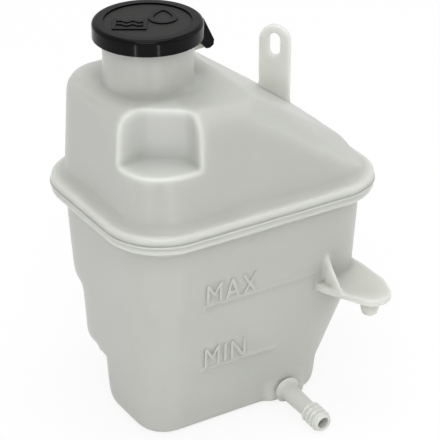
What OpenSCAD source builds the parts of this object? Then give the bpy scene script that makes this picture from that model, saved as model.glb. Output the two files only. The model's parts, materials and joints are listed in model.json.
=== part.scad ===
// Coolant expansion tank: two welded polypropylene shells, a hinged snap lid and its seal.
// Units are millimetres. X runs along the level mark face, that face looks along -Y, Z is up.
// The foot stands on Z = 0 and the weld seam lies at seam_z.

/* [Body] */
// Length of the body at the weld seam, along X
body_l = 153; // [137:1:170]
// Width of the body at the weld seam, along Y
body_w = 109; // [100:1:122]
// Corner radius of the body in plan at the weld seam
corner_r = 26; // [22:1:32]
// Wall thickness of both shells
wall = 2.6; // [2.2:0.1:3.2]
// Height of the weld seam above the foot
seam_z = 131; // [120:1:145]
// Inward lean of the lower walls for each millimetre of height
draft = 0.06; // [0.03:0.005:0.07]

/* [Lower shell] */
// Height below the seam where the back wall steps in first
step1_drop = 57; // [52:1:66]
// Distance of the back wall from the middle below the first step
step1_y = 41.5; // [36:0.5:46]
// Height below the seam where the back wall steps in again
step2_drop = 98; // [90:1:104]
// Distance of the back wall from the middle below the second step
step2_y = 17; // [12:1:24]
// Height below the seam where the right wall turns inwards
slant_drop = 68; // [64:1:76]
// Lean of the slanted right wall from the vertical in degrees
slant_angle = 24.5; // [16:0.5:27]
// Distance of the right wall from the middle at the foot
foot_x = 49; // [45:1:56]
// Radius of the rounded edge round the foot
foot_r = 6; // [4:0.5:8]

/* [Weld flange] */
// Reach of the weld flange beyond the body wall
flange_out = 7.6; // [6:0.2:10]
// Height of each of the two flange lips
lip_h = 5.4; // [4:0.2:7]
// Radius of the outer edge of each lip
lip_r = 2.4; // [1:0.2:3]
// Radius of the hollow blend between lip and wall
lip_cove = 3.6; // [2:0.2:5]
// Radius of the weld bead that shows on the seam
bead_r = 0.7; // [0.4:0.1:1]

/* [Roof] */
// Height of the shoulder that carries the filler neck, above the seam
shoulder_h = 67; // [60:1:74]
// Inward lean of the upper walls for each millimetre of height
roof_draft = 0.05; // [0.03:0.005:0.06]
// Radius of the rounded edge round the shoulder
shoulder_r = 11; // [8:0.5:12]
// Fall of the main roof slope towards +X in degrees
slope_angle = 35.2; // [32:0.2:38]
// Height of the main slope above the seam where it meets the right wall
slope_low = 17; // [14:1:22]
// Height above the seam of the point the front facets fan out from
fan_low = 9.5; // [8.5:0.5:12]

/* [Corner pocket] */
// Radius of the upright inner corners of the pocket
pocket_r = 8; // [5:0.5:12]
// Height of the pocket floor above the seam
pocket_floor = 36.5; // [30:0.5:44]
// Distance of the pocket wall that looks along -Y from the neck axis
pocket_back = 29.5; // [28:0.5:34]
// Distance of the pocket wall that looks along -X beyond the neck axis, along -X
pocket_side = 1; // [-3:0.5:4]
// Distance of the slanted pocket wall from the neck axis
pocket_cut = 36.5; // [34:0.5:39]

/* [Filler neck] */
// Distance of the neck axis from the middle, along -X
neck_dx = 38; // [34:1:42]
// Distance of the neck axis from the middle, along +Y
neck_dy = 5; // [2:1:8]
// Outer radius of the neck
neck_r = 25; // [23:0.5:27]
// Wall of the neck
neck_wall = 2.4; // [2:0.1:3]
// Height of the neck rim above the shoulder
neck_h = 32.8; // [28:0.2:36]

/* [Lid] */
// Outer radius of the lid skirt
lid_r = 30.4; // [29.8:0.2:32]
// Height of the lid skirt
lid_h = 9; // [8:0.2:11]
// Thickness of the lid top
lid_top = 2.4; // [2:0.1:3]
// Radius of the rounded edge of the lid
lid_edge = 2.2; // [1.2:0.2:2.6]
// Wall of the lid skirt
skirt_wall = 2.2; // [1.8:0.1:2.6]
// Radius of the sunk panel on top of the lid
panel_r = 24.2; // [22:0.2:26]
// Depth of the sunk panel
panel_sink = 1.1; // [0.6:0.1:1.3]
// Play between the bead on the neck and the lid skirt, which swings past it
snap_play = 1; // [1:0.1:1.6]
// Depth of the centring ring under the lid
ring_d = 2.2; // [1.4:0.2:2.6]

/* [Hinge] */
// Radius of the hinge trunnions
trunnion_r = 1.9; // [1.6:0.1:2.1]
// Play of the trunnions in the lid cheeks
hinge_play = 0.08; // [0.04:0.01:0.12]
// Width over both hinge cheeks
hinge_w = 18; // [16:0.5:22]
// Thickness of each hinge cheek
cheek_t = 2.8; // [2.4:0.1:3.4]

/* [Mount tab] */
// Width of the upright mount tab
tab_w = 18.8; // [16:0.2:22]
// Turn of the tab about its own upright axis in degrees, towards the neck
tab_turn = 50; // [0:5:60]
// Thickness of the mount tab
tab_t = 4; // [3:0.2:5]
// Height of the tab top above the seam
tab_h = 69.5; // [60:0.5:76]
// Width of the slot in the tab
slot_w = 6.5; // [5:0.5:7.5]
// Length of the slot in the tab
slot_l = 14; // [10:0.5:18]

/* [Side lug] */
// Height of the lug top below the seam
lug_drop = 56; // [50:1:60]
// Thickness of the lug
lug_t = 4.4; // [3.4:0.2:5.5]
// Reach of the lug tip beyond the middle, along -Y
lug_reach = 86; // [80:1:92]
// Radius of the rounded lug tip
tip_r = 11.4; // [10:0.2:13]
// Radius of the locating peg under the lug
peg_r = 5.4; // [4.5:0.1:6.2]
// Length of the locating peg
peg_l = 11; // [8:0.5:14]

/* [Hose nipple] */
// Distance of the nipple from the middle, along +X
nipple_x = 20; // [16:1:24]
// Height of the nipple root above the foot
nipple_z = 8.5; // [8:0.5:10]
// Outer radius of the nipple
nipple_r = 5.4; // [4.8:0.1:6]
// Radius of the bore through the nipple
nipple_bore = 3.4; // [2.8:0.1:4]
// Reach of the nipple end beyond the middle, along -Y
nipple_reach = 88; // [80:1:94]
// Downward tilt of the nipple in degrees
nipple_tilt = 3; // [0:0.5:5]
// Height of the hose barbs
barb = 0.9; // [0.6:0.1:1.2]

/* [Level marks] */
// Drop of the upper level line below the seam
max_drop = 49; // [44:1:54]
// Drop of the lower level line below the seam
min_drop = 91; // [86:1:96]
// Height of the raised level lines above the wall
mark_h = 0.6; // [0.4:0.1:1]

/* [Hidden] */
$fn = 64;
big = 400;
half_l = body_l / 2;
half_w = body_w / 2;
draft_deg = atan(draft);
box = [-half_l, half_l, -half_w, half_w];
neck_x = -neck_dx;
neck_y = neck_dy;
shoulder_z = seam_z + shoulder_h;
rim_z = shoulder_z + neck_h;
lid_z = rim_z + 0.6;
skirt_z = lid_z + lid_top - lid_h;
neck_in = neck_r - neck_wall;
bead_out = lid_r - skirt_wall - snap_play;
pivot_x = neck_x + lid_r + 2.6;
pivot_z = skirt_z - 8.2;
bore_r = trunnion_r + hinge_play;
arm_w = hinge_w - 2 * cheek_t - 0.8;
tab_x = half_l * 0.796;
tab_y = half_w * 0.55;
lug_x = half_l * 0.78;
peg_y = tip_r + 1 - lug_reach;
front_y = -half_w + draft * (seam_z - nipple_z);
nipple_y = front_y - wall / 2;
nipple_l = nipple_reach + nipple_y;
slope_n = [sin(slope_angle), 0, cos(slope_angle)];
slope_p = [half_l * 0.942, 0, seam_z + slope_low];
fan_p = [half_l * 0.864, -half_w, seam_z + fan_low];

// Height of the main roof slope at a given x
function slope_z(x) = seam_z + min(shoulder_h, slope_low + (slope_p[0] - x) * tan(slope_angle));
// Ridge points from the pocket to the right wall, as share of length, share of width
ridge_xy = [[-0.46, -0.965], [-0.27, -0.925], [-0.137, -0.847], [-0.057, -0.778], [0.006, -0.704], [0.174, -0.681], [0.28, -0.654], [0.97, -0.34]];
function ridge(i) = [ridge_xy[i][0] * half_l, ridge_xy[i][1] * half_w, slope_z(ridge_xy[i][0] * half_l)];
function unit(v) = v / norm(v);
// Rounds to a thousandth, so that neighbouring slices meet exactly
function mil(v) = round(v * 1000) / 1000;

// Solid of a rounded rectangle whose faces lean in by s0 at the bottom and s1 at the top
module rdraft(b, r, z0, z1, s0, s1) {
    for (x = [b[0] + r, b[1] - r])
        for (y = [b[2] + r, b[3] - r])
            translate([x, y, z0]) cylinder(h = z1 - z0, r1 = r - s0, r2 = r - s1);
    translate([b[0] + r, 0, 0]) rotate([90, 0, 90])
        linear_extrude(b[1] - b[0] - 2 * r)
            polygon([[b[2] + s0, z0], [b[3] - s0, z0], [b[3] - s1, z1], [b[2] + s1, z1]]);
    translate([0, b[3] - r, 0]) rotate([90, 0, 0])
        linear_extrude(b[3] - b[2] - 2 * r)
            polygon([[b[0] + s0, z0], [b[1] - s0, z0], [b[1] - s1, z1], [b[0] + s1, z1]]);
}

// Stack of leaning slices, each level is a height and an inset
module stack(b, r, levels) {
    for (i = [0 : len(levels) - 2])
        rdraft(b, r, levels[i][0], levels[i + 1][0], levels[i][1], levels[i + 1][1]);
}

// Everything on the outer side of a plane through p with normal n
module beyond(p, n) {
    translate(p) rotate([0, acos(n[2]), atan2(n[1], n[0])])
        translate([-big / 2, -big / 2, 0]) cube(big);
}

// A flat section carried round the body outline, drawn as distance from the wall and height
module round_body(b, r) {
    w = b[1] - b[0] - 2 * r;
    d = b[3] - b[2] - 2 * r;
    translate([b[1] - r, b[3] - r, 0]) rotate_extrude(angle = 90) translate([r, 0]) children();
    translate([b[0] + r, b[3] - r, 0]) rotate([0, 0, 90]) rotate_extrude(angle = 90) translate([r, 0]) children();
    translate([b[0] + r, b[2] + r, 0]) rotate([0, 0, 180]) rotate_extrude(angle = 90) translate([r, 0]) children();
    translate([b[1] - r, b[2] + r, 0]) rotate([0, 0, 270]) rotate_extrude(angle = 90) translate([r, 0]) children();
    translate([b[1] - r, b[3], 0]) rotate([90, 0, -90]) linear_extrude(w) mirror([1, 0]) children();
    translate([b[0] + r, b[2], 0]) rotate([90, 0, 90]) linear_extrude(w) mirror([1, 0]) children();
    translate([b[0], b[3] - r, 0]) rotate([90, 0, 0]) linear_extrude(d) mirror([1, 0]) children();
    translate([b[1], b[2] + r, 0]) rotate([90, 0, 180]) linear_extrude(d) mirror([1, 0]) children();
}

// Section of one weld lip with its rounded edge, its blend and its share of the bead
module lip_section() {
    translate([-wall, 0]) square([wall + flange_out - lip_r, lip_h]);
    square([flange_out, lip_h - lip_r]);
    translate([flange_out - lip_r, lip_h - lip_r]) circle(lip_r);
    intersection() {
        translate([flange_out, 0]) circle(bead_r, $fn = 24);
        square([flange_out + bead_r, bead_r]);
    }
    difference() {
        translate([-wall / 2, lip_h - 0.01]) square([wall / 2 + lip_cove, lip_cove]);
        translate([lip_cove, lip_h + lip_cove]) circle(lip_cove);
    }
}

// Upper form without the neck, every face moved in by o
module roof_form(o) {
    b = [box[0] + o, box[1] - o, box[2] + o, box[3] - o];
    top = shoulder_z - o;
    e = shoulder_r - o;
    lean = roof_draft * (shoulder_h - shoulder_r);
    steps = o > 0 ? 3 : 4;
    levels = [for (i = [0 : steps]) [mil(top - e + e * sin(90 * i / steps)), mil(lean + e * (1 - cos(90 * i / steps)))]];
    difference() {
        stack(b, corner_r - o, concat([[seam_z, 0]], levels));
        beyond(slope_p - o * slope_n, slope_n);
        for (i = [0 : len(ridge_xy) - 2]) {
            n = unit(cross(ridge(i) - fan_p, ridge(i + 1) - fan_p));
            m = n[2] < 0 ? -n : n;
            beyond(fan_p - o * m, m);
        }
        translate([neck_x, neck_y, seam_z + pocket_floor - o]) linear_extrude(big) pocket_section(o);
    }
}

// Plan of the pocket about the neck axis: two straight walls and a slanted one between rounded corners
module pocket_section(o) {
    r = pocket_r + o;
    n = [0.614, 0.789];
    y1 = -pocket_back - pocket_r;
    x1 = -(pocket_cut + pocket_r + n[1] * y1) / n[0];
    x2 = -pocket_side - pocket_r;
    y2 = -(pocket_cut + pocket_r + n[0] * x2) / n[1];
    translate([x1, y1]) circle(r);
    translate([x2, y2]) circle(r);
    polygon([[-big, y1 + r], [x1, y1 + r], [x1 + r * n[0], y1 + r * n[1]], [x2 + r * n[0], y2 + r * n[1]],
        [x2 + r, y2], [x2 + r, -big], [-big, -big]]);
}

// Body of the tab, flat and round topped, with its root sunk in the roof
module tab() {
    r = tab_w / 2;
    root = slope_z(tab_x + r) - tab_w / 2;
    translate([tab_x, tab_y, 0]) rotate([0, 0, -tab_turn]) difference() {
        translate([0, tab_t / 2, 0]) rotate([90, 0, 0]) linear_extrude(tab_t) {
            translate([-r, root]) square([tab_w, seam_z + tab_h - r - root]);
            translate([0, seam_z + tab_h - r]) circle(r);
        }
        translate([0, tab_t, 0]) rotate([90, 0, 0]) linear_extrude(2 * tab_t) slot_section();
    }
}

// Outline of the mount slot
module slot_section() {
    z1 = seam_z + tab_h - tab_w / 2 + 1;
    z0 = z1 - slot_l + slot_w;
    translate([0, z1]) circle(slot_w / 2);
    translate([0, z0]) circle(slot_w / 2);
    translate([-slot_w / 2, z0]) square([slot_w, z1 - z0]);
}

// Bracket on the neck with the two trunnions the lid turns on
module hinge_bracket() {
    z0 = pivot_z - 5.4;
    translate([0, neck_y + arm_w / 2, 0]) rotate([90, 0, 0]) linear_extrude(arm_w) {
        translate([neck_x + neck_r - 1.2, z0]) square([pivot_x - neck_x - neck_r + 1.2, 6.4]);
        translate([pivot_x, pivot_z]) circle(trunnion_r + 1.1);
        translate([pivot_x - trunnion_r - 1.1, z0]) square([2 * trunnion_r + 1.2, 5.4]);
    }
    translate([pivot_x, neck_y + hinge_w / 2 - 0.8, pivot_z]) rotate([90, 0, 0])
        cylinder(h = hinge_w - 1.6, r = trunnion_r);
}

module upper_shell() {
    color([0.86, 0.87, 0.84]) difference() {
        union() {
            difference() {
                union() {
                    roof_form(0);
                    translate([neck_x, neck_y, shoulder_z - 6]) cylinder(h = neck_h + 6, r = neck_r);
                }
                roof_form(wall);
            }
            translate([0, 0, seam_z]) round_body(box, corner_r) lip_section();
            translate([neck_x, neck_y, rim_z - 4.4]) cylinder(h = 1.8, r1 = neck_r, r2 = bead_out);
            translate([neck_x, neck_y, rim_z - 2.6]) cylinder(h = 1.8, r1 = bead_out, r2 = neck_r);
            difference() {
                tab();
                roof_form(wall / 2);
            }
            hinge_bracket();
        }
        translate([neck_x, neck_y, shoulder_z - 20]) cylinder(h = neck_h + 21, r = neck_in);
    }
}

// Right wall that leans in towards the foot, with rounded upright corners
module slant_side(o, y1) {
    z = seam_z - slant_drop;
    x = half_l - draft * slant_drop;
    r = corner_r - 4 - o;
    d = y1 - box[2];
    translate([x, box[2] + draft * slant_drop, z]) rotate([draft_deg, 0, 0]) rotate([0, slant_angle, 0])
        translate([-o / cos(slant_angle), o, -big / 2]) linear_extrude(big) {
            translate([-r, r]) circle(r);
            translate([-r, d + 2 - r]) circle(r);
            translate([-big, 0]) square([big - r, d + 2]);
            translate([-r - 1, r]) square([r + 1, d + 2 - 2 * r]);
        }
}

// Levels of the lower form from the foot up to the height z1
function foot_levels(o, z1) = concat(
    [for (a = [90 : -30 : 0]) [mil(o + (foot_r - o) * (1 - sin(a))), mil(draft * seam_z + (foot_r - o) * (1 - cos(a)))]],
    [[z1, mil(draft * (seam_z - z1))]]);

// Lower form, every face moved in by o
module lower_form(o) {
    b = [box[0] + o, box[1] - o, box[2] + o, box[3] - o];
    r = corner_r - o;
    z1 = seam_z - step1_drop;
    z2 = seam_z - step2_drop;
    mid_b = [b[0], b[1], b[2], step1_y + draft * step1_drop - o];
    low_b = [b[0], b[1], b[2], step2_y + draft * step2_drop - o];
    foot_b = [b[0], foot_x + draft * seam_z - o, b[2], low_b[3]];
    ramp = half_w - draft * step1_drop - step1_y;
    difference() {
        stack(b, r, [[z1 - 4 + o, draft * (step1_drop + 4)], [seam_z, 0]]);
        beyond([0, step1_y - 2 - o, z1 - 1 + o], [0, sin(46), -cos(46)]);
    }
    intersection() {
        stack(mid_b, r, [[z2 + o, draft * step2_drop], [z1 + ramp, draft * (step1_drop - ramp)]]);
        slant_side(o, mid_b[3]);
    }
    intersection() {
        stack(low_b, r, [for (z = [foot_r + 2, z2 + 12]) [mil(z), mil(draft * (seam_z - z))]]);
        slant_side(o, low_b[3]);
    }
    stack(foot_b, r, foot_levels(o, z2 - 8));
}

// Lug that carries the locating peg, with its two stiffening webs
module lug() {
    z = seam_z - lug_drop;
    x0 = lug_x - 2 * tip_r;
    x1 = half_l - draft * (lug_drop + lug_t) + wall / 2;
    translate([0, 0, z - lug_t]) linear_extrude(lug_t) {
        translate([lug_x, tip_r - lug_reach]) circle(tip_r);
        polygon([[x0, 3 * wall - half_w], [x0 + wall / 2, -half_w - wall], [lug_x - tip_r * cos(18), tip_r - lug_reach - tip_r * sin(18)],
            [lug_x + tip_r * cos(20), tip_r - lug_reach - tip_r * sin(20)], [x1, tip_r * 1.7 - lug_reach], [x1, 4 * wall - half_w],
            [x1 - wall, corner_r - half_w], [x0 + tip_r, 5 * wall - half_w]]);
    }
    translate([x0 + tip_r / 2, 0, 0]) rotate([90, 0, 90]) linear_extrude(wall)
        polygon([[-half_w + 3.2, z + 17], [-half_w + 6, z - 1], [-half_w - 16, z - 1], [-half_w + 0.8, z + 17]]);
    translate([lug_x, peg_y, z - lug_t - peg_l]) {
        translate([0, 0, 4.6]) cylinder(h = peg_l - 4.5, r = peg_r);
        translate([0, 0, 1.2]) cylinder(h = 3.4, r1 = peg_r - 0.8, r2 = peg_r);
        cylinder(h = 1.2, r1 = peg_r - 1.9, r2 = peg_r - 0.8);
    }
}

// Solid of the hose nipple along local Z, end barbs last
module nipple_solid(l) {
    cylinder(h = l, r = nipple_r);
    for (i = [0 : 2])
        translate([0, 0, l - 4 - 3.6 * i]) {
            cylinder(h = 1.2, r1 = nipple_r, r2 = nipple_r + barb);
            translate([0, 0, 1.2]) cylinder(h = 2, r1 = nipple_r + barb, r2 = nipple_r);
        }
}

module nipple_frame() {
    translate([nipple_x, nipple_y, nipple_z]) rotate([90 + nipple_tilt, 0, 0]) children();
}

// Raised line of a level mark on the front wall
module level_line(drop, x0, x1) {
    y = -half_w + draft * drop;
    translate([x0, y - mark_h, seam_z - drop - 0.9]) cube([x1 - x0, mark_h + 1, 1.8]);
}

module lower_shell() {
    color([0.84, 0.86, 0.82]) difference() {
        union() {
            difference() {
                lower_form(0);
                lower_form(wall);
            }
            translate([0, 0, seam_z]) mirror([0, 0, 1]) round_body(box, corner_r) lip_section();
            difference() {
                union() {
                    lug();
                    translate([nipple_x - nipple_r * 2.4, front_y - 4, 2]) cube([nipple_r * 4.8, 8, nipple_z + nipple_r * 1.9]);
                    nipple_frame() translate([0, 0, -wall]) nipple_solid(nipple_l + wall);
                }
                lower_form(wall / 2);
            }
            level_line(max_drop, -half_l * 0.48, half_l * 0.5);
            level_line(min_drop, -half_l * 0.48, half_l * 0.16);
        }
        nipple_frame() translate([0, 0, -20]) cylinder(h = nipple_l + 30, r = nipple_bore);
    }
}

// Outline of the hinge cheeks seen along Y
module cheek_section() {
    x = pivot_x;
    z = pivot_z;
    polygon([[x - 7, lid_z - 0.2], [x - 3.1, lid_z - 0.2], [x + 3.5, z + 0.8], [x + 3.2, z - 2.2],
        [x + 0.8, z - 3.7], [x - 1.6, z - 3.5], [x - 3.7, z - 0.8], [x - 4.6, skirt_z - 0.5], [x - 7, skirt_z]]);
}

module lid() {
    color([0.07, 0.07, 0.08]) difference() {
        union() {
            translate([neck_x, neck_y, 0]) rotate_extrude(angle = 360, $fn = 96) {
                translate([lid_r - skirt_wall, skirt_z]) square([skirt_wall, lid_h - lid_edge]);
                translate([0, lid_z]) square([lid_r - lid_edge, lid_top]);
                translate([lid_r - lid_edge, lid_z + lid_top - lid_edge]) circle(lid_edge);
                translate([neck_in - 5.8, lid_z - ring_d]) square([1.8, ring_d + 0.1]);
            }
            difference() {
                union() {
                    for (s = [-1, 1])
                        translate([0, neck_y + s * (hinge_w - cheek_t) / 2 + cheek_t / 2, 0]) rotate([90, 0, 0])
                            linear_extrude(cheek_t) cheek_section();
                    translate([pivot_x - lid_r * 0.4, neck_y - hinge_w / 2, lid_z - lid_top - 0.2]) cube([lid_r * 0.28, hinge_w, lid_top]);
                }
                translate([neck_x, neck_y, skirt_z - lid_r]) cylinder(h = 2 * lid_r, r = lid_r - skirt_wall / 2, $fn = 96);
            }
        }
        translate([neck_x, neck_y, lid_z + lid_top - panel_sink]) cylinder(h = 5, r = panel_r, $fn = 96);
        translate([pivot_x, neck_y + hinge_w / 2 - 0.7, pivot_z]) rotate([90, 0, 0]) cylinder(h = hinge_w - 1.4, r = bore_r);
    }
}

module lid_seal() {
    color([0.12, 0.12, 0.12]) translate([neck_x, neck_y, rim_z]) difference() {
        cylinder(h = lid_z - rim_z, r = neck_r - 0.1, $fn = 96);
        translate([0, 0, -1]) cylinder(h = 4, r = neck_in - 0.9, $fn = 96);
    }
}

upper_shell();
lower_shell();
lid();
lid_seal();
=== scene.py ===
import json
import logging
import math
from collections.abc import Callable
from dataclasses import dataclass, replace
from enum import Enum

import bmesh
import bpy
from mathutils import Matrix, Vector

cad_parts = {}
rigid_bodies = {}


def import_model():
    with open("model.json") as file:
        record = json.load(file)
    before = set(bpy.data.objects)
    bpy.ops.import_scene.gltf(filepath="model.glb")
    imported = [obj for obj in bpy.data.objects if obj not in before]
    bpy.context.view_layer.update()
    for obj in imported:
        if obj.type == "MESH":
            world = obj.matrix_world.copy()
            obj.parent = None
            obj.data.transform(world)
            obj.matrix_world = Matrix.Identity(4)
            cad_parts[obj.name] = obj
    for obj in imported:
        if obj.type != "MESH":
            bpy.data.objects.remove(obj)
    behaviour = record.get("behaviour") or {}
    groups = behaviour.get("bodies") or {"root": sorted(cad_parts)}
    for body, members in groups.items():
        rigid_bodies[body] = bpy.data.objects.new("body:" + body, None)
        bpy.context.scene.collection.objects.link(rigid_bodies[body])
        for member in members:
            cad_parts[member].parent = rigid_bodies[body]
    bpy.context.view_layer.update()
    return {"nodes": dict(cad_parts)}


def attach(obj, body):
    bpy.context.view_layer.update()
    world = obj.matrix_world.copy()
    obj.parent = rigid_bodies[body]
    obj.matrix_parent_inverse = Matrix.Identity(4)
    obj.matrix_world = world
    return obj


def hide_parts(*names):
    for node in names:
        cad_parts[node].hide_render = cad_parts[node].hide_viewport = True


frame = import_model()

log = logging.getLogger("tank")

# Lengths are in metres, in the CAD model's frame

SEAM_Z = 0.131
NECK_XY = (-0.038, 0.005)
FRONT_DRAFT = 0.06
BODY_LENGTH = 0.153
BODY_WIDTH = 0.109
OUTLET_AT = (0.020, -0.04845, 0.0085)
OUTLET_TILT = math.radians(3.0)
MERGE_DISTANCE = 1e-6

Colour = tuple[float, float, float]


class Body(Enum):
    """The CAD bodies that a piece can ride on."""

    TANK = "tank"
    LID = "lid"


class Slot(Enum):
    """The record's material slots."""

    UPPER = "upper_shell"
    LOWER = "lower_shell"
    LID = "lid"
    SEAL = "lid_seal"


def share(value: float, start: float, end: float) -> float:
    """Says how far a value has come from one bound to another.

    Args:
        value: The value.
        start: Where the share is 0.
        end: Where the share is 1.

    Returns:
        The share, from 0 to 1.
    """
    return min(max((value - start) / (end - start), 0.0), 1.0)


# Small tools for modelling


def deselect_all() -> None:
    """Leaves object mode with nothing selected."""
    if bpy.context.object and bpy.context.object.mode != "OBJECT":
        bpy.ops.object.mode_set(mode="OBJECT")
    for other in bpy.context.scene.objects:
        other.select_set(False)


def activate(piece: bpy.types.Object) -> None:
    """Selects one object and nothing else.

    Args:
        piece: The object that the next operators act on.
    """
    deselect_all()
    piece.select_set(True)
    bpy.context.view_layer.objects.active = piece


def apply_all(piece: bpy.types.Object) -> None:
    """Applies every modifier of a piece, from first to last.

    Args:
        piece: The object whose modifiers are applied.
    """
    activate(piece)
    for modifier in list(piece.modifiers):
        bpy.ops.object.modifier_apply(modifier=modifier.name)


def freeze(piece: bpy.types.Object) -> None:
    """Moves a piece's place and turn into its mesh, so that its object sits at the origin.

    Args:
        piece: The object to freeze.
    """
    activate(piece)
    bpy.ops.object.transform_apply(location=True, rotation=True, scale=True)


def face_outwards(piece: bpy.types.Object) -> None:
    """Merges doubles and turns all faces of a closed piece outwards.

    Args:
        piece: The object to clean.
    """
    activate(piece)
    bpy.ops.object.mode_set(mode="EDIT")
    bpy.ops.mesh.select_all(action="SELECT")
    bpy.ops.mesh.remove_doubles(threshold=MERGE_DISTANCE)
    bpy.ops.mesh.normals_make_consistent(inside=False)
    bpy.ops.object.mode_set(mode="OBJECT")


def place(
    piece: bpy.types.Object, name: str, body: Body, material: bpy.types.Material
) -> bpy.types.Object:
    """Names a finished piece, gives it its material and lets it ride on its body.

    Args:
        piece: The finished object.
        name: Its name in the table of pieces.
        body: The CAD body it rides on.
        material: The material of all its faces.

    Returns:
        The same object.
    """
    piece.name = name
    piece.data.name = name
    piece.data.materials.clear()
    piece.data.materials.append(material)
    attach(piece, body.value)
    log.info("%s: %d faces on %s", name, len(piece.data.polygons), body.value)
    return piece


# Shader effects


class Effects:
    """Node groups for the effects that more than one material uses."""

    def __init__(self) -> None:
        """Builds each group once."""
        self.grain = self._grain()
        self.handling = self._handling()

    @staticmethod
    def _start(name: str, inputs: dict[str, float], outputs: tuple[str, ...]) -> tuple:
        """Makes an empty group with float sockets.

        Args:
            name: The group's name.
            inputs: Input names and their default values.
            outputs: Output names.

        Returns:
            The group, its input node and its output node.
        """
        group = bpy.data.node_groups.new(name, "ShaderNodeTree")
        for label, value in inputs.items():
            socket = group.interface.new_socket(
                label, in_out="INPUT", socket_type="NodeSocketFloat"
            )
            socket.default_value = value
        for label in outputs:
            group.interface.new_socket(label, in_out="OUTPUT", socket_type="NodeSocketFloat")
        return group, group.nodes.new("NodeGroupInput"), group.nodes.new("NodeGroupOutput")

    def _grain(self) -> bpy.types.NodeTree:
        """A fine spark-eroded texture with slow waves of uneven cooling.

        Returns:
            The group, with outputs Height and Cloud from 0 to 1.
        """
        inputs = {"Fine scale": 900.0, "Wave scale": 28.0, "Wave share": 0.5}
        group, entry, leave = self._start("moulding_grain", inputs, ("Height", "Cloud"))
        node, link = group.nodes.new, group.links.new
        place_of = node("ShaderNodeTexCoord")
        fine = node("ShaderNodeTexNoise")
        fine.inputs["Detail"].default_value = 2.0
        wave = node("ShaderNodeTexNoise")
        wave.inputs["Detail"].default_value = 3.0
        wave.inputs["Roughness"].default_value = 0.45
        mix = node("ShaderNodeMix")
        for texture, label in ((fine, "Fine scale"), (wave, "Wave scale")):
            link(place_of.outputs["Object"], texture.inputs["Vector"])
            link(entry.outputs[label], texture.inputs["Scale"])
        link(entry.outputs["Wave share"], mix.inputs["Factor"])
        link(fine.outputs["Fac"], mix.inputs["A"])
        link(wave.outputs["Fac"], mix.inputs["B"])
        link(mix.outputs["Result"], leave.inputs["Height"])
        link(wave.outputs["Fac"], leave.inputs["Cloud"])
        return group

    def _handling(self) -> bpy.types.NodeTree:
        """Sparse thin scuffs from handling and storage.

        Returns:
            The group, with the output Scuffs from 0 to 1.
        """
        inputs = {"Scale": 60.0, "Amount": 0.5}
        group, entry, leave = self._start("handling_scuffs", inputs, ("Scuffs",))
        node, link = group.nodes.new, group.links.new
        place_of = node("ShaderNodeTexCoord")
        stretch = node("ShaderNodeMapping")
        stretch.inputs["Scale"].default_value = (1.0, 0.35, 3.2)
        stretch.inputs["Rotation"].default_value = (0.5, 0.7, 0.3)
        lines = node("ShaderNodeTexNoise")
        lines.inputs["Detail"].default_value = 5.0
        lines.inputs["Distortion"].default_value = 0.6
        patch = node("ShaderNodeTexNoise")
        patch.inputs["Scale"].default_value = 18.0
        ramp = node("ShaderNodeMapRange")
        ramp.inputs["From Min"].default_value = 0.62
        ramp.inputs["From Max"].default_value = 0.72
        some = node("ShaderNodeMapRange")
        some.inputs["From Min"].default_value = 0.5
        some.inputs["From Max"].default_value = 0.68
        both = node("ShaderNodeMath")
        both.operation = "MULTIPLY"
        scaled = node("ShaderNodeMath")
        scaled.operation = "MULTIPLY"
        link(place_of.outputs["Object"], stretch.inputs["Vector"])
        link(stretch.outputs["Vector"], lines.inputs["Vector"])
        link(place_of.outputs["Object"], patch.inputs["Vector"])
        link(entry.outputs["Scale"], lines.inputs["Scale"])
        link(lines.outputs["Fac"], ramp.inputs["Value"])
        link(patch.outputs["Fac"], some.inputs["Value"])
        link(ramp.outputs["Result"], both.inputs[0])
        link(some.outputs["Result"], both.inputs[1])
        link(both.outputs["Value"], scaled.inputs[0])
        link(entry.outputs["Amount"], scaled.inputs[1])
        link(scaled.outputs["Value"], leave.inputs["Scuffs"])
        return group


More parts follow.
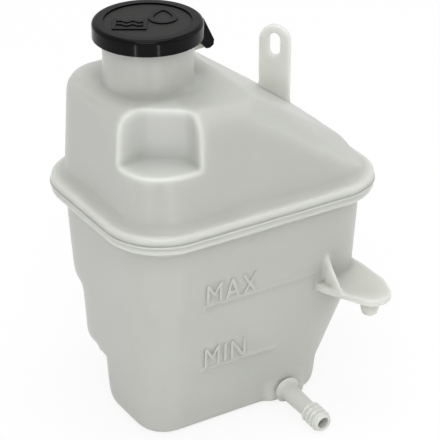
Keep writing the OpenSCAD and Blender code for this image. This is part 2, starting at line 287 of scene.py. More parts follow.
@dataclass(frozen=True)
class Finish:
    """One moulded finish: its colours, gloss and surface texture."""

    name: str
    colour: Colour
    cloud_colour: Colour
    scuff_colour: Colour
    roughness: tuple[float, float]
    grain_scale: float
    wave_scale: float
    bump: float
    bump_depth: float
    scuffs: float
    specular: float = 0.5
    subsurface: float = 0.0
    depth: float = 0.003
    # Lighter tone of solid plastic, also used as painted light inside the pocket
    thick_and_glow_colour: Colour | None = None
    # Greyer colour of the lid's sunk panel: a painted sheen
    panel_sheen_colour: Colour | None = None
    panel_roughness: float = 0.6

    def material(self, effects: Effects) -> bpy.types.Material:
        """Builds the finish as a material.

        Args:
            effects: The shared node groups.

        Returns:
            The material.
        """
        made = bpy.data.materials.new(self.name)
        made.use_nodes = True
        tree = made.node_tree
        node, link = tree.nodes.new, tree.links.new
        shader = tree.nodes["Principled BSDF"]
        grain = node("ShaderNodeGroup")
        grain.node_tree = effects.grain
        grain.inputs["Fine scale"].default_value = self.grain_scale
        grain.inputs["Wave scale"].default_value = self.wave_scale
        grain.inputs["Wave share"].default_value = 0.35
        scuffs = node("ShaderNodeGroup")
        scuffs.node_tree = effects.handling
        scuffs.inputs["Amount"].default_value = self.scuffs
        colour = self._mix(tree, grain.outputs["Cloud"], self.colour, self.cloud_colour)
        # Lighter where the plastic is solid, and painted light in the pocket to lift its shade
        if self.thick_and_glow_colour:
            colour = self._mix(tree, self._thick_and_glow(tree), colour, self.thick_and_glow_colour)
        # The sunk panel gets a greyer colour, a painted sheen, and a duller roughness
        panel = self._panel(tree) if self.panel_sheen_colour else None
        if panel:
            colour = self._mix(tree, panel, colour, self.panel_sheen_colour)
        colour = self._mix(tree, scuffs.outputs["Scuffs"], colour, self.scuff_colour)
        link(colour, shader.inputs["Base Color"])
        gloss = node("ShaderNodeMapRange")
        gloss.inputs["From Min"].default_value = 0.3
        gloss.inputs["From Max"].default_value = 0.7
        gloss.inputs["To Min"].default_value = self.roughness[0]
        gloss.inputs["To Max"].default_value = self.roughness[1]
        link(grain.outputs["Cloud"], gloss.inputs["Value"])
        rougher = node("ShaderNodeMath")
        rougher.operation = "MULTIPLY_ADD"
        rougher.inputs[1].default_value = 0.25
        link(scuffs.outputs["Scuffs"], rougher.inputs[0])
        link(gloss.outputs["Result"], rougher.inputs[2])
        roughness = rougher.outputs["Value"]
        if panel:
            dull = node("ShaderNodeMix")
            dull.inputs["B"].default_value = self.panel_roughness
            link(panel, dull.inputs["Factor"])
            link(roughness, dull.inputs["A"])
            roughness = dull.outputs["Result"]
        link(roughness, shader.inputs["Roughness"])
        bump = node("ShaderNodeBump")
        bump.inputs["Strength"].default_value = self.bump
        bump.inputs["Distance"].default_value = self.bump_depth
        link(grain.outputs["Height"], bump.inputs["Height"])
        link(bump.outputs["Normal"], shader.inputs["Normal"])
        shader.inputs["Subsurface Weight"].default_value = self.subsurface
        shader.inputs["Subsurface Radius"].default_value = (1.0, 1.0, 1.0)
        shader.inputs["Subsurface Scale"].default_value = self.depth
        shader.inputs["IOR"].default_value = 1.49
        shader.inputs["Specular IOR Level"].default_value = self.specular
        return made

    @staticmethod
    def _mix(
        tree: bpy.types.NodeTree,
        factor: bpy.types.NodeSocket,
        low: bpy.types.NodeSocket | Colour,
        high: Colour,
    ) -> bpy.types.NodeSocket:
        """Mixes two colours by a mask.

        Args:
            tree: The material's nodes.
            factor: The mask.
            low: The colour where the mask is 0, a socket or a plain colour.
            high: The colour where the mask is 1.

        Returns:
            The colour socket.
        """
        mix = tree.nodes.new("ShaderNodeMix")
        mix.data_type = "RGBA"
        if isinstance(low, tuple):
            mix.inputs[6].default_value = (*low, 1.0)
        else:
            tree.links.new(low, mix.inputs[6])
        mix.inputs[7].default_value = (*high, 1.0)
        tree.links.new(factor, mix.inputs["Factor"])
        return mix.outputs[2]

    @staticmethod
    def _ramp(
        tree: bpy.types.NodeTree, value: bpy.types.NodeSocket, low: float, high: float
    ) -> bpy.types.NodeSocket:
        """Turns a value into a soft mask.

        Args:
            tree: The material's nodes.
            value: The value.
            low: Where the mask is 0.
            high: Where the mask is 1.

        Returns:
            The mask socket.
        """
        ramp = tree.nodes.new("ShaderNodeMapRange")
        ramp.interpolation_type = "SMOOTHSTEP"
        ramp.inputs["From Min"].default_value = low
        ramp.inputs["From Max"].default_value = high
        tree.links.new(value, ramp.inputs["Value"])
        return ramp.outputs["Result"]

    @staticmethod
    def _math(
        tree: bpy.types.NodeTree, kind: str, *values: bpy.types.NodeSocket | float
    ) -> bpy.types.NodeSocket:
        """Adds one sum, or a chain of the same sum when there are more than two values.

        Args:
            tree: The material's nodes.
            kind: The operation.
            values: Its values, sockets or numbers.

        Returns:
            The result's socket.
        """
        total = values[0]
        for value in values[1:] or (0.0,):
            made = tree.nodes.new("ShaderNodeMath")
            made.operation = kind
            tree.links.new(total, made.inputs[0])
            if isinstance(value, float):
                made.inputs[1].default_value = value
            else:
                tree.links.new(value, made.inputs[1])
            total = made.outputs["Value"]
        return total

    def _place(self, tree: bpy.types.NodeTree) -> dict[str, bpy.types.NodeSocket]:
        """Splits the object coordinates.

        Args:
            tree: The material's nodes.

        Returns:
            The sockets named X, Y and Z.
        """
        place_of = tree.nodes.new("ShaderNodeTexCoord")
        parts = tree.nodes.new("ShaderNodeSeparateXYZ")
        tree.links.new(place_of.outputs["Object"], parts.inputs["Vector"])
        return {axis: parts.outputs[axis] for axis in "XYZ"}

    def _thick_and_glow(self, tree: bpy.types.NodeTree) -> bpy.types.NodeSocket:
        """Masks where the plastic is solid (flange, boss and tab) and the pocket, whose lighter
        colour is painted light that lifts the shade in the recess.

        Args:
            tree: The material's nodes.

        Returns:
            The mask socket.
        """
        at = self._place(tree)
        off_seam = self._math(tree, "ABSOLUTE", self._math(tree, "SUBTRACT", at["Z"], SEAM_Z))
        flange = self._math(tree, "MULTIPLY", self._ramp(tree, off_seam, 0.0095, 0.0045), 0.36)
        ahead = self._ramp(tree, at["Y"], -0.0555, -0.0600)
        low = self._ramp(tree, at["Z"], 0.060, 0.030)
        boss = self._math(tree, "MULTIPLY", ahead, low, 0.5)
        right = self._ramp(tree, at["X"], 0.040, 0.048)
        high = self._ramp(tree, at["Z"], 0.158, 0.172)
        tab = self._math(tree, "MULTIPLY", right, high, 0.6)
        # The pocket part of the mask paints light into the recess, against its shade
        left = self._ramp(tree, at["X"], -0.035, -0.043)
        front = self._ramp(tree, at["Y"], -0.020, -0.027)
        above = self._ramp(tree, at["Z"], 0.1640, 0.1675)
        pocket = self._math(tree, "MULTIPLY", left, front, above)
        return self._math(tree, "MAXIMUM", flange, boss, tab, pocket)

    def _panel(self, tree: bpy.types.NodeTree) -> bpy.types.NodeSocket:
        """Masks the sunk panel of the lid, which is duller than the rest and gets a greyer colour
        that is painted sheen.

        Args:
            tree: The material's nodes.

        Returns:
            The mask socket.
        """
        at = self._place(tree)
        dx = self._math(tree, "SUBTRACT", at["X"], NECK_XY[0])
        dy = self._math(tree, "SUBTRACT", at["Y"], NECK_XY[1])
        squares = [self._math(tree, "MULTIPLY", d, d) for d in (dx, dy)]
        away = self._math(tree, "SQRT", self._math(tree, "ADD", *squares))
        inside = self._ramp(tree, away, 0.0241, 0.0238)
        above = self._ramp(tree, at["Z"], 0.2318, 0.2322)
        return self._math(tree, "MULTIPLY", inside, above)


NATURAL_RESIN = Finish(
    name="natural_resin",
    colour=(0.493, 0.501, 0.463),
    cloud_colour=(0.526, 0.535, 0.495),
    scuff_colour=(0.60, 0.605, 0.56),
    roughness=(0.28, 0.36),
    grain_scale=1100.0,
    wave_scale=26.0,
    bump=0.10,
    bump_depth=0.0003,
    scuffs=0.35,
    subsurface=1.0,
    depth=0.014,
    # Tone of solid plastic; inside the pocket it is painted light
    thick_and_glow_colour=(0.600, 0.612, 0.575),
)
SOLID_RESIN = replace(
    NATURAL_RESIN,
    name="solid_resin",
    colour=(0.55, 0.558, 0.525),
    cloud_colour=(0.57, 0.578, 0.545),
    subsurface=0.5,
    depth=0.003,
)
RAISED_RESIN = replace(
    NATURAL_RESIN,
    name="raised_resin",
    colour=(0.475, 0.481, 0.445),
    cloud_colour=(0.50, 0.506, 0.47),
    subsurface=0.3,
    depth=0.002,
)
LID_BLACK = Finish(
    name="lid_black",
    colour=(0.0022, 0.0022, 0.0024),
    cloud_colour=(0.004, 0.004, 0.004),
    scuff_colour=(0.05, 0.05, 0.048),
    roughness=(0.07, 0.12),
    grain_scale=2600.0,
    wave_scale=60.0,
    bump=0.10,
    bump_depth=0.0002,
    scuffs=0.4,
    specular=0.10,
    # The panel's grey is painted sheen
    panel_sheen_colour=(0.034, 0.034, 0.033),
    panel_roughness=0.62,
)
MOTIF_BLACK = replace(LID_BLACK, name="motif_black", panel_sheen_colour=None)
SEAL_RUBBER = Finish(
    name="seal_rubber",
    colour=(0.02, 0.02, 0.02),
    cloud_colour=(0.035, 0.034, 0.033),
    scuff_colour=(0.08, 0.08, 0.075),
    roughness=(0.6, 0.75),
    grain_scale=3000.0,
    wave_scale=80.0,
    bump=0.2,
    bump_depth=0.0001,
    scuffs=0.3,
)


# The tank


ShareOf = Callable[[Vector], float]


@dataclass
class SoftShell:
    """A moulded shell with the soft edges of the real plastic, over a copy of its CAD solid."""

    node: str
    slot: Slot
    voxel: float = 0.0008
    rounds: int = 7
    keep: float = 0.4
    crisp: float = 0.0009
    crisp_fade: float = 0.0012

    def build(self, material: bpy.types.Material) -> bpy.types.Object:
        """Makes the soft-edged shell and lets it stand for its CAD node.

        Args:
            material: The shell's material.

        Returns:
            The finished shell.
        """
        shell = frame["nodes"][self.node].copy()
        shell.data = shell.data.copy()
        for key in list(shell.keys()):
            del shell[key]
        shell.parent = None
        bpy.context.scene.collection.objects.link(shell)
        activate(shell)
        bpy.ops.object.mode_set(mode="EDIT")
        bpy.ops.mesh.select_all(action="SELECT")
        bpy.ops.mesh.remove_doubles(threshold=MERGE_DISTANCE)
        bpy.ops.mesh.customdata_custom_splitnormals_clear()
        bpy.ops.object.mode_set(mode="OBJECT")
        self._trim(shell)
        self._melt(shell)
        self._sculpt(shell)
        self._thin_out(shell)
        activate(shell)
        bpy.ops.object.shade_smooth()
        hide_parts(self.node)
        return place(shell, f"{self.node}_soft", Body.TANK, material)

    def _trim(self, shell: bpy.types.Object) -> None:
        """Leaves room for a shell to take away what a piece of its own shows instead.

        Args:
            shell: The copy of the CAD solid.
        """

    def _melt(self, shell: bpy.types.Object) -> None:
        """Turns the solid into an even skin with slightly round edges, but for the weld seam.

        Args:
            shell: The copy of the CAD solid.
        """
        skin = shell.modifiers.new("skin", "REMESH")
        skin.mode = "VOXEL"
        skin.voxel_size = self.voxel * 1.0
        apply_all(shell)

        def off_seam(co: Vector) -> float:
            """Share of everything that isn't close to the weld seam."""
            return share(abs(co.z - SEAM_Z), self.crisp, self.crisp + self.crisp_fade)

        rounds = self.rounds * 1
        self.smooth_where(shell, "soften", off_seam, rounds)

    def _sculpt(self, shell: bpy.types.Object) -> None:
        """Leaves room for a shell's own smoothing.

        Args:
            shell: The even skin.
        """

    def _thin_out(self, shell: bpy.types.Object) -> None:
        """Merges faces where the shell is flat, to keep it light.

        Args:
            shell: The smoothed skin.
        """
        fewer = shell.modifiers.new("fewer", "DECIMATE")
        fewer.ratio = self.keep
        apply_all(shell)

    @staticmethod
    def _weigh(shell: bpy.types.Object, name: str, share_of: ShareOf) -> None:
        """Marks one region of the skin with a vertex group.

        Args:
            shell: The even skin.
            name: The region's name.
            share_of: A function from a vertex's place to its share of what is done there.
        """
        group = shell.vertex_groups.new(name=name)
        for vertex in shell.data.vertices:
            part = share_of(vertex.co)
            if part > 0.0:
                group.add([vertex.index], part, "REPLACE")

    def smooth_where(
        self, shell: bpy.types.Object, name: str, share_of: ShareOf, rounds: int
    ) -> None:
        """Smooths one region of the skin more than the rest.

        Args:
            shell: The even skin.
            name: The region's name.
            share_of: A function from a vertex's place to its share of the smoothing.
            rounds: How often the region is smoothed.
        """
        self._weigh(shell, name, share_of)
        ease = shell.modifiers.new(name, "SMOOTH")
        ease.factor = 0.5
        ease.iterations = rounds // 1
        ease.vertex_group = name
        apply_all(shell)
        shell.vertex_groups.clear()

    def push_where(
        self, shell: bpy.types.Object, name: str, share_of: ShareOf, axis: str, by: float
    ) -> None:
        """Moves one region of the skin along an axis.

        Args:
            shell: The even skin.
            name: The region's name.
            share_of: A function from a vertex's place to its share of the move.
            axis: The axis, X, Y or Z.
            by: The longest move.
        """
        self._weigh(shell, name, share_of)
        push = shell.modifiers.new(name, "DISPLACE")
        push.direction = axis
        push.mid_level = 0.0
        push.strength = by
        push.vertex_group = name
        apply_all(shell)
        shell.vertex_groups.clear()


@dataclass
class UpperShell(SoftShell):
    """The upper shell, whose front roof flows from upright to sloping without an edge."""

    node: str = "upper_shell"
    slot: Slot = Slot.UPPER
    keep: float = 0.5
    roof_foot: float = SEAM_Z + 0.0125
    roof_left: float = -0.033
    roof_slope: float = 0.7054
    roof_rounds: int = 130
    root_rounds: int = 14

    def _sculpt(self, shell: bpy.types.Object) -> None:
        """Blends the front roof facets and the roots of the neck and the tab.

        Args:
            shell: The even skin.
        """

        def front_roof(co: Vector) -> float:
            """Share for the warped face between the pocket and the right wall."""
            fade = 0.006
            upwards = share(co.z, self.roof_foot, self.roof_foot + fade)
            rightwards = share(co.x, self.roof_left, self.roof_left + fade)
            return min(upwards, rightwards) * share(co.y, 0.004, -0.004)

        def roots(co: Vector) -> float:
            """Share for the foot of the neck, the root of the tab and the brim of the pocket."""
            ring = math.hypot(co.x - NECK_XY[0], co.y - NECK_XY[1])
            neck = 0.194 < co.z < 0.206 and 0.0205 < ring < 0.031
            above_slope = co.z + self.roof_slope * co.x
            tab = co.x > 0.044 and 0.012 < co.y < 0.048 and 0.190 < above_slope < 0.2065
            pocket = co.z > 0.161 and co.x < self.roof_left and co.y < -0.021
            return 1.0 if neck or tab or pocket else 0.0

        self.smooth_where(shell, "front_roof", front_roof, self.roof_rounds)
        self.smooth_where(shell, "roots", roots, self.root_rounds)


@dataclass
class LowerShell(SoftShell):
    """The lower shell with its lug and peg. Its hose outlet is a turned piece of its own."""

    node: str = "lower_shell"
    slot: Slot = Slot.LOWER
    rounds: int = 5
    keep: float = 0.3
    boss: float = 0.004
    cut_at: float = 0.0032
    cutter: tuple[float, float] = (0.0095, 0.06)
    plug_size: tuple[float, float, float] = (0.0052, 0.0034, 0.0050)
    plug_at: tuple[float, float, float] = (0.0413, 0.0117, 0.0072)

    def _trim(self, shell: bpy.types.Object) -> None:
        """Cuts the hose outlet off before its boss and fills the back right corner of the foot.

        Args:
            shell: The copy of the CAD solid.
        """
        deselect_all()
        bpy.ops.mesh.primitive_cube_add(size=1.0)
        corner = bpy.context.object
        corner.scale = self.plug_size
        corner.location = self.plug_at
        freeze(corner)
        shell.select_set(True)
        corner.select_set(True)
        bpy.context.view_layer.objects.active = shell
        bpy.ops.object.join()
        deselect_all()
        radius, depth = self.cutter
        bpy.ops.mesh.primitive_cylinder_add(vertices=48, radius=radius, depth=depth)
        cutter = bpy.context.object
        along = outlet_axis()
        cutter.rotation_euler = along.to_track_quat("Z", "Y").to_euler()
        cutter.location = Vector(OUTLET_AT) + along * (self.cut_at + depth / 2)
        freeze(cutter)
        cut = shell.modifiers.new("outlet", "BOOLEAN")
        cut.operation = "DIFFERENCE"
        cut.solver = "EXACT"
        cut.object = cutter
        apply_all(shell)
        bpy.data.objects.remove(cutter)

    def _sculpt(self, shell: bpy.types.Object) -> None:
        """Rounds the foot, the steps of the back wall, the outlet's boss and the lug's web.

        Args:
            shell: The even skin.
        """

        def foot(co: Vector) -> float:
            """Share for the edge round the foot."""
            return share(co.z, 0.024, 0.014)

        def steps(co: Vector) -> float:
            """Share for the two steps of the back wall."""
            below, above = share(co.z, 0.094, 0.086), share(co.z, 0.016, 0.022)
            return min(below, above, share(co.y, 0.010, 0.014))

        def boss(co: Vector) -> float:
            """Share for the boss of the hose outlet."""
            near = abs(co.x - OUTLET_AT[0]) < 0.017 and co.y < -0.0425 and co.z < 0.026
            return 1.0 if near else 0.0

        def wedge(co: Vector) -> float:
            """Share of the boss that is pushed back, so that it runs out of the wall downwards."""
            if abs(co.x - OUTLET_AT[0]) > 0.018 or co.z > 0.0215 or co.y > -0.044:
                return 0.0
            wall_y = -BODY_WIDTH / 2 + FRONT_DRAFT * (SEAM_Z - co.z)
            return share(wall_y - co.y, 0.0, self.boss) * share(co.z, 0.004, 0.018)

        def web(co: Vector) -> float:
            """Share for the web above the lug."""
            near = 0.036 < co.x < 0.052 and co.y < -0.0475 and 0.0756 < co.z < 0.098
            return 1.0 if near else 0.0

        self.push_where(shell, "wedge", wedge, "Y", self.boss)
        self.smooth_where(shell, "foot", foot, 110)
        self.smooth_where(shell, "steps", steps, 150)
        self.smooth_where(shell, "boss", boss, 40)
        self.smooth_where(shell, "web", web, 60)


def outlet_axis() -> Vector:
    """The way the hose outlet points.

    Returns:
        A unit vector from the boss to the open end.
    """
    return Vector((0.0, -math.cos(OUTLET_TILT), -math.sin(OUTLET_TILT)))


@dataclass
class HoseOutlet:
    """The turned hose outlet with its bore, its barbs and its flared root."""

    length: float = 0.03948
    radius: float = 0.0054
    bore: float = 0.0034
    barb: float = 0.0009
    barbs: int = 4
    pitch: float = 0.0034
    flare: float = 0.0026
    inside: float = 0.0015
    groove: float = 0.0006
    rim: float = 0.0011
    chamfer: float = 0.0004

    def build(self, material: bpy.types.Material) -> bpy.types.Object:
        """Turns the outlet round its axis.

        Args:
            material: The outlet's material.

        Returns:
            The finished outlet.
        """
        outline = self._outline()
        deselect_all()
        bpy.ops.mesh.primitive_circle_add(vertices=len(outline), radius=0.001, fill_type="NOTHING")
        outlet = bpy.context.object
        for vertex, (radius, along) in zip(outlet.data.vertices, outline):
            vertex.co = (radius, 0.0, along)
        turned = outlet.modifiers.new("turned", "SCREW")
        turned.axis = "Z"
        turned.angle = 2.0 * math.pi
        turned.steps = 72
        turned.render_steps = 72
        turned.use_merge_vertices = True
        turned.merge_threshold = 1e-6
        apply_all(outlet)
        outlet.rotation_euler = outlet_axis().to_track_quat("Z", "Y").to_euler()
        outlet.location = OUTLET_AT
        freeze(outlet)
        face_outwards(outlet)
        bpy.ops.object.shade_smooth_by_angle(angle=math.radians(38.0))
        return place(outlet, "hose_outlet", Body.TANK, material)

    def _outline(self) -> list[tuple[float, float]]:
        """Draws half of the outlet's section as radius and distance along the axis.

        Returns:
            The closed outline, from the root round the open end and back through the bore.
        """
        quarter = [math.radians(90.0 * i / 6) for i in range(7)]
        points = [(self.radius + 0.0001, -self.inside)]
        for turn in quarter:
            out = self.flare * (1.0 - math.sin(turn))
            points.append((self.radius + out, 0.0018 + self.flare * (1.0 - math.cos(turn))))
        first = self.length - 0.0010 - self.barbs * self.pitch
        tooth = (
            (-self.groove, 0.0),
            (-self.groove, 0.0008),
            (0.8 * self.barb, 0.0013),
            (self.barb, 0.0016),
            (0.8 * self.barb, 0.0019),
        )
        for i in range(self.barbs):
            start = first + i * self.pitch
            points += [(self.radius + out, start + along) for out, along in tooth]
        for turn in quarter:
            back = self.rim * (1.0 - math.sin(turn))
            points.append((self.radius - self.rim * (1.0 - math.cos(turn)), self.length - back))
        points.append((self.bore + self.chamfer, self.length))
        points.append((self.bore, self.length - self.chamfer))
        points.append((self.bore, -self.inside))
        return points


@dataclass
class WeldBead:
    """The thin line of plastic squeezed out at the weld seam."""

    length: float = BODY_LENGTH
    width: float = BODY_WIDTH
    corner: float = 0.026
    reach: float = 0.0073
    radius: float = 0.0010

    def build(self, material: bpy.types.Material) -> bpy.types.Object:
        """Runs the bead round the flange.

        Args:
            material: The bead's material.

        Returns:
            The finished bead.
        """
        deselect_all()
        bpy.ops.mesh.primitive_plane_add(size=1.0, location=(0.0, 0.0, SEAM_Z))
        bead = bpy.context.object
        bead.scale = (self.length + 2 * self.reach, self.width + 2 * self.reach, 1.0)
        bpy.ops.object.transform_apply(location=False, rotation=False, scale=True)
        bpy.ops.object.mode_set(mode="EDIT")
        bpy.ops.mesh.select_all(action="SELECT")
        bpy.ops.mesh.bevel(offset=self.corner + self.reach, segments=24, affect="VERTICES")
        bpy.ops.mesh.delete(type="ONLY_FACE")
        bpy.ops.object.mode_set(mode="OBJECT")
        bpy.ops.object.convert(target="CURVE")
        bead = bpy.context.object
        bead.data.bevel_depth = self.radius
        bead.data.bevel_resolution = 3
        bpy.ops.object.convert(target="MESH")
        bead = bpy.context.object
        freeze(bead)
        face_outwards(bead)
        bpy.ops.object.shade_smooth()
        return place(bead, "weld_bead", Body.TANK, material)


@dataclass
class LevelMarks:
    """The raised words and lines on the front wall that show how full the tank is."""

    lines: tuple[tuple[str, float, float], ...] = (("MAX", 0.049, 0.038), ("MIN", 0.091, 0.012))
    left: float = -0.0367
    font_size: float = 0.020128
    spacing: float = 1.1
    raise_by: float = 0.0003
    narrow: float = 0.76
    line_width: float = 0.0016

    def build(self, material: bpy.types.Material) -> list[bpy.types.Object]:
        """Models each word with its line.

        Args:
            material: The marks' material.

        Returns:
            The finished marks.
        """
        return [self._mark(word, drop, right, material) for word, drop, right in self.lines]

    def _mark(
        self, word: str, drop: float, right: float, material: bpy.types.Material
    ) -> bpy.types.Object:
        """Models one word and the line under it.

        Args:
            word: The word.
            drop: How far the line lies under the seam.
            right: The line's right end.
            material: The mark's material.

        Returns:
            The finished mark.
        """
        deselect_all()
        bpy.ops.object.text_add()
        text = bpy.context.object
        text.data.body = word
        text.data.size = self.font_size
        text.data.space_character = self.spacing
        text.data.extrude = self.raise_by
        bpy.ops.object.convert(target="MESH")
        text = bpy.context.object
        text.scale = (self.narrow, 1.0, 1.0)
        bpy.ops.object.transform_apply(location=False, rotation=False, scale=True)
        deselect_all()
        bpy.ops.mesh.primitive_cube_add(size=1.0)
        line = bpy.context.object
        line.scale = (right - self.left, self.line_width, 2 * self.raise_by)
        line.location = ((right - self.left) / 2, -self.line_width, 0.0)
        bpy.ops.object.transform_apply(location=True, rotation=False, scale=True)
        bpy.ops.object.mode_set(mode="EDIT")
        bpy.ops.mesh.select_all(action="SELECT")
        bpy.ops.mesh.bevel(offset=0.0003, segments=2, affect="EDGES")
        bpy.ops.object.mode_set(mode="OBJECT")
        text.select_set(True)
        bpy.context.view_layer.objects.active = text
        bpy.ops.object.join()
        mark = bpy.context.object
        lean = math.atan(FRONT_DRAFT)
        mark.rotation_euler = (math.pi / 2 + lean, 0.0, 0.0)
        mark.location = (self.left, -BODY_WIDTH / 2 + FRONT_DRAFT * drop, SEAM_Z - drop)
        freeze(mark)
        face_outwards(mark)
        return place(mark, f"level_mark_{word.lower()}", Body.TANK, material)


@dataclass
class SnapLid:
    """The black lid: its CAD solid with the moulded motifs on its sunk panel."""

    panel_z: float = 0.2327
    lift: float = 0.0009
    sink: float = 0.0002
    turn: float = -0.55
    vessel_at: tuple[float, float] = (-0.0104, 0.0012)
    drop_at: tuple[float, float] = (0.0100, 0.0008)
    drop_radius: float = 0.0066

    def build(
        self, material: bpy.types.Material, raised: bpy.types.Material
    ) -> list[bpy.types.Object]:
        """Dresses the lid and adds the motifs.

        Args:
            material: The lid's material.
            raised: The motifs' material.

        Returns:
            The motifs.
        """
        node = frame["nodes"]["lid"]
        node.data.materials.clear()
        node.data.materials.append(material)
        return [self._vessel(raised), self._drop(raised)]

    def _finish(
        self,
        motif: bpy.types.Object,
        name: str,
        at: tuple[float, float],
        material: bpy.types.Material,
    ) -> bpy.types.Object:
        """Gives a flat outline its height and sets it on the panel.

        Args:
            motif: The flat outline in its own plane.
            name: The motif's name.
            at: Its middle, from the lid's axis.
            material: Its material.

        Returns:
            The finished motif.
        """
        solid = motif.modifiers.new("height", "SOLIDIFY")
        solid.thickness = self.lift + self.sink
        solid.offset = 0.0
        soft = motif.modifiers.new("soft", "BEVEL")
        soft.width = 0.0002
        soft.segments = 2
        soft.limit_method = "ANGLE"
        apply_all(motif)
        middle_z = self.panel_z + (self.lift - self.sink) / 2
        motif.rotation_euler = (0.0, 0.0, self.turn)
        motif.location = (NECK_XY[0] + at[0], NECK_XY[1] + at[1], middle_z)
        freeze(motif)
        face_outwards(motif)
        return place(motif, name, Body.LID, material)

    @staticmethod
    def _outline(
        points: list[tuple[float, float]], width: float, closed: bool = False
    ) -> bpy.types.Object:
        """Draws a flat ribbon of even width along a line.

        Args:
            points: The line.
            width: The ribbon's width.
            closed: Whether the line returns to its start.

        Returns:
            The flat ribbon.
        """
        deselect_all()
        bpy.ops.mesh.primitive_circle_add(vertices=len(points), radius=1.0, fill_type="NOTHING")
        ribbon = bpy.context.object
        mesh = bmesh.new()
        mesh.from_mesh(ribbon.data)
        mesh.verts.ensure_lookup_table()
        for vertex, point in zip(mesh.verts, points):
            vertex.co = (*point, 0.0)
        if not closed:
            ends = {0, len(points) - 1}
            last = [e for e in mesh.edges if {v.index for v in e.verts} == ends]
            bmesh.ops.delete(mesh, geom=last, context="EDGES_FACES")
        mesh.to_mesh(ribbon.data)
        mesh.free()
        bpy.ops.object.convert(target="CURVE")
        ribbon = bpy.context.object
        ribbon.data.dimensions = "3D"
        ribbon.data.extrude = width / 2
        for spline in ribbon.data.splines:
            for point in spline.points:
                point.tilt = math.pi / 2
        bpy.ops.object.convert(target="MESH")
        return bpy.context.object

    def _vessel(self, material: bpy.types.Material) -> bpy.types.Object:
        """An open vessel with two waves in it.

        Args:
            material: Its material.

        Returns:
            The motif.
        """
        half, deep, reach, swell = 0.0084, 0.0070, 0.0066, 0.0011
        cup = [(-half, deep), (-half, -deep), (half, -deep), (half, deep)]
        parts = [self._outline(cup, 0.0026)]
        for level in (0.0034, -0.0012):
            wave = [
                (reach * (i / 10 - 1.0), level + swell * math.sin(i * math.pi / 5))
                for i in range(21)
            ]
            parts.append(self._outline(wave, 0.0021))
        deselect_all()
        for part in parts:
            part.select_set(True)
        bpy.context.view_layer.objects.active = parts[0]
        bpy.ops.object.join()
        return self._finish(bpy.context.object, "lid_vessel_motif", self.vessel_at, material)

    def _drop(self, material: bpy.types.Material) -> bpy.types.Object:
        """A drop of liquid as an outline.

        Args:
            material: Its material.

        Returns:
            The motif.
        """
        points = []
        for i in range(36):
            turn = 2 * math.pi * i / 36
            x, y = self.drop_radius * math.sin(turn), -self.drop_radius * math.cos(turn)
            if y > 0:
                x *= 1.0 - 0.35 * (y / self.drop_radius) ** 2
                y *= 1.75
            points.append((x, y - self.drop_radius / 3))
        return self._finish(
            self._outline(points, 0.0027, closed=True), "lid_drop_motif", self.drop_at, material
        )


# The studio


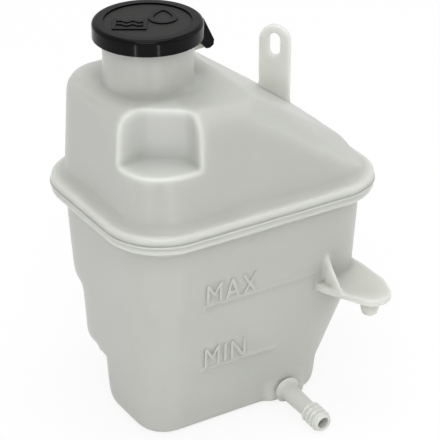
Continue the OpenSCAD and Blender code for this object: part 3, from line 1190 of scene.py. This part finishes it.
@dataclass
class Studio:
    """A pale floor, soft lamps, a white surround and the camera of the photograph."""

    target: tuple[float, float, float] = (0.0, 0.0, 0.131)
    back: tuple[float, float, float] = (-0.4651, -0.7590, 0.4555)
    distance: float = 1.136
    lens: float = 163.64
    shift: tuple[float, float] = (0.0166, -0.0989)
    world_level: float = 0.74

    def build(self) -> None:
        """Sets up the whole studio."""
        self._camera()
        self._floor()
        self._world()
        self._lamp("key", (-0.9, -1.3, 1.7), 1.3, 15.0)
        self._lamp("fill", (1.5, -0.9, 1.1), 1.4, 4.2)
        self._lamp("top", (0.1, 0.2, 2.0), 1.2, 10.5)
        self._lamp("left_strip", (-0.346, -0.218, 0.052), 0.0035, 0.06, 0.1)
        self._lamp("right_strip", (-0.097, -0.37, 0.052), 0.0035, 0.06, 0.1)
        bpy.context.scene.view_settings.view_transform = "Standard"

    def _camera(self) -> None:
        """Sets the camera where the photograph was taken from."""
        data = bpy.data.cameras.new("camera")
        data.lens = self.lens
        data.sensor_width = 36.0
        data.shift_x, data.shift_y = self.shift
        data.clip_end = 20.0
        camera = bpy.data.objects.new("camera", data)
        back = Vector(self.back).normalized()
        right = Vector((0.0, 0.0, 1.0)).cross(back).normalized()
        up = back.cross(right)
        turn = Matrix((right, up, back)).transposed()
        place_of = Matrix.Translation(Vector(self.target) + back * self.distance)
        camera.matrix_world = place_of @ turn.to_4x4()
        bpy.context.scene.collection.objects.link(camera)
        bpy.context.scene.camera = camera

    def _floor(self) -> None:
        """Lays a wide pale floor that keeps the tank's shadow."""
        deselect_all()
        bpy.ops.mesh.primitive_plane_add(size=14.0, location=(0.0, 0.0, 0.0))
        floor = bpy.context.object
        floor.name = "floor"
        made = bpy.data.materials.new("pale_floor")
        made.use_nodes = True
        tree = made.node_tree
        shader = tree.nodes["Principled BSDF"]
        shader.inputs["Base Color"].default_value = (0.86, 0.86, 0.86, 1.0)
        shader.inputs["Roughness"].default_value = 0.85
        shine = tree.nodes.new("ShaderNodeEmission")
        shine.inputs["Strength"].default_value = 1.0
        ray = tree.nodes.new("ShaderNodeLightPath")
        part = tree.nodes.new("ShaderNodeMath")
        part.operation = "MULTIPLY"
        part.inputs[1].default_value = 0.86
        mix = tree.nodes.new("ShaderNodeMixShader")
        link = tree.links.new
        link(ray.outputs["Is Camera Ray"], part.inputs[0])
        link(part.outputs["Value"], mix.inputs["Fac"])
        link(shader.outputs["BSDF"], mix.inputs[1])
        link(shine.outputs["Emission"], mix.inputs[2])
        link(mix.outputs["Shader"], tree.nodes["Material Output"].inputs["Surface"])
        floor.data.materials.append(made)

    def _world(self) -> None:
        """Lights the tank from all round and shows white behind it."""
        world = bpy.data.worlds.new("surround")
        bpy.context.scene.world = world
        world.use_nodes = True
        tree = world.node_tree
        tree.nodes.clear()
        link = tree.links.new
        out = tree.nodes.new("ShaderNodeOutputWorld")
        soft = tree.nodes.new("ShaderNodeBackground")
        soft.inputs["Color"].default_value = (1.0, 1.0, 1.0, 1.0)
        soft.inputs["Strength"].default_value = self.world_level
        white = tree.nodes.new("ShaderNodeBackground")
        white.inputs["Color"].default_value = (1.0, 1.0, 1.0, 1.0)
        white.inputs["Strength"].default_value = 1.0
        ray = tree.nodes.new("ShaderNodeLightPath")
        mix = tree.nodes.new("ShaderNodeMixShader")
        link(ray.outputs["Is Camera Ray"], mix.inputs["Fac"])
        link(soft.outputs["Background"], mix.inputs[1])
        link(white.outputs["Background"], mix.inputs[2])
        link(mix.outputs["Shader"], out.inputs["Surface"])

    def _lamp(
        self,
        name: str,
        at: tuple[float, float, float],
        size: float,
        power: float,
        height: float | None = None,
    ) -> None:
        """Adds a soft lamp that looks at the tank.

        Args:
            name: The lamp's name.
            at: Its place.
            size: Its width.
            power: Its power in watts.
            height: Its height, if it isn't square.
        """
        data = bpy.data.lights.new(name, "AREA")
        data.shape = "RECTANGLE"
        data.size = size
        data.size_y = height or size
        data.energy = power
        lamp = bpy.data.objects.new(name, data)
        lamp.location = at
        look = Vector(self.target) - Vector(at)
        lamp.rotation_euler = look.to_track_quat("-Z", "Y").to_euler()
        bpy.context.scene.collection.objects.link(lamp)


def main() -> None:
    """Builds every piece, dresses the CAD nodes and sets up the studio."""
    logging.basicConfig(level=logging.INFO, format="%(name)s: %(message)s")
    effects = Effects()
    resin = NATURAL_RESIN.material(effects)
    black = LID_BLACK.material(effects)
    glossy = MOTIF_BLACK.material(effects)
    rubber = SEAL_RUBBER.material(effects)
    Studio().build()
    UpperShell().build(resin)
    LowerShell().build(resin)
    HoseOutlet().build(SOLID_RESIN.material(effects))
    raised = RAISED_RESIN.material(effects)
    WeldBead().build(raised)
    LevelMarks().build(raised)
    SnapLid().build(black, glossy)
    seal = frame["nodes"]["lid_seal"]
    seal.data.materials.clear()
    seal.data.materials.append(rubber)
    log.info("lid_seal: dressed")


if __name__ == "__main__":
    main()
